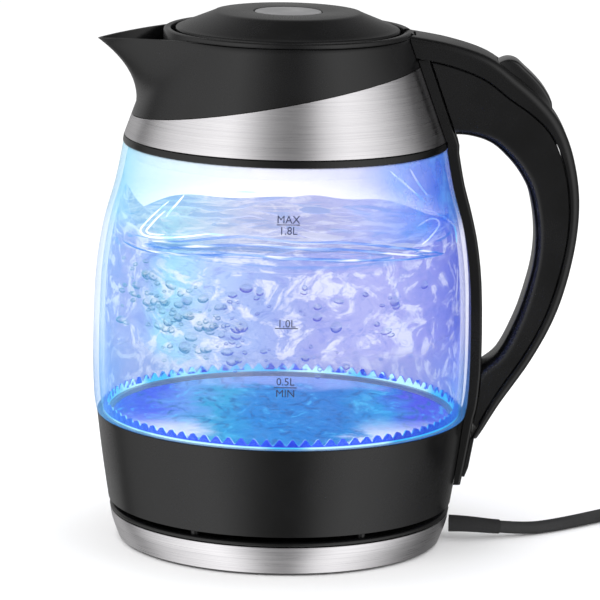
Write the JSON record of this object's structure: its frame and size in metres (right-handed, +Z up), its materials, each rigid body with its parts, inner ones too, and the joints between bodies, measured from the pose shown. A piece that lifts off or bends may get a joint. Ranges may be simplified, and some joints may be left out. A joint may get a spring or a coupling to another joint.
{
  "type": "electric kettle",
  "caption": "Cordless glass electric kettle with steel band, hinged lid, arched handle and lit light ring, standing on a round power base with a coiled mains lead.",
  "frame": {"origin": "middle of the underside of the kettle's bounding box, from glass to handle, on the table under the base's feet", "axes": "+Z up, +X towards the handle, -X towards the spout, +Y to the back"},
  "size_m": [0.3509, 0.1616, 0.2273],
  "materials": {
    "black_plastic": "satin moulded black plastic with a fine grain",
    "soft_black": "matte black soft plastic or rubber",
    "brushed_steel": "steel brushed round the kettle",
    "inner_metal": "plain dull metal",
    "contact_brass": "plain brass contact metal",
    "jug_glass": "clear borosilicate glass",
    "light_ring": "clear toothed plastic lit blue",
    "silicone": "translucent grey silicone",
    "circuit_board": "green circuit board",
    "cream_plastic": "pale heat-proof plastic",
    "silver_plastic": "silver-grey matte paint"
  },
  "bodies": {
    "base": {"base_bottom_cover": "black_plastic", "base_foot_back_left": "soft_black", "base_foot_back_right": "soft_black", "base_foot_front_left": "soft_black", "base_foot_front_right": "soft_black", "base_hub": "black_plastic", "base_pin_contact": "contact_brass", "base_ring_contact": "contact_brass", "base_screw_1": "inner_metal", "base_screw_2": "inner_metal", "base_screw_3": "inner_metal", "base_top_cover": "black_plastic", "base_trim_ring": "brushed_steel", "strain_relief": "soft_black", "cord_lead": "soft_black", "cord_coil": "soft_black", "cord_tail": "soft_black", "plug_body": "soft_black", "plug_blade_left": "contact_brass", "plug_blade_right": "contact_brass"},
    "turntable": {"turn_ring": "cream_plastic"},
    "kettle": {"kettle_underside": "black_plastic", "kettle_connector": "contact_brass", "thermostat_control": "cream_plastic", "heating_element": "inner_metal", "heat_spreader": "inner_metal", "heating_plate": "brushed_steel", "led_board": "circuit_board", "light_guide_ring": "light_ring", "lower_housing": "black_plastic", "lower_seal": "silicone", "glass_jug": "jug_glass", "upper_seal": "silicone", "glass_collar": "black_plastic", "steel_band": "brushed_steel", "head_shell": "black_plastic", "spout_filter": "silicone", "hinge_pin": "inner_metal", "handle_spine": "black_plastic", "handle_inner_shell": "black_plastic", "handle_outer_cover": "black_plastic", "steam_tube": "silicone", "switch_pin": "inner_metal"},
    "lid": {"lid_cover": "black_plastic", "lid_disc": "silver_plastic", "lid_plug": "black_plastic", "lid_seal": "silicone"},
    "release_button": {"release_button": "soft_black", "release_rod": "inner_metal"},
    "power_switch": {"power_switch": "soft_black"}
  },
  "joints": [
    {"name": "swivel", "type": "hinge", "parent": "base", "child": "turntable", "pos_m": [-0.02175, 0, 0.0153], "axis": [0, 0, 1], "continuous": true},
    {"name": "lift_off", "type": "slide", "parent": "turntable", "child": "kettle", "axis": [0, 0, 1], "range_m": [0, 0.06]},
    {"name": "lid_hinge", "type": "hinge", "parent": "kettle", "child": "lid", "pos_m": [0.02964, 0, 0.2175], "axis": [0, 1, 0], "range_deg": [0, 78]},
    {"name": "lid_release", "type": "slide", "parent": "kettle", "child": "release_button", "axis": [-0.6358, 0, -0.7719], "range_m": [0, 0.003], "stiffness_N_per_m": 600, "springref_m": -0.001},
    {"name": "power_lever", "type": "hinge", "parent": "kettle", "child": "power_switch", "pos_m": [0.05758, 0, 0.0424], "axis": [0, -1, 0], "range_deg": [0, 12]}
  ]
}
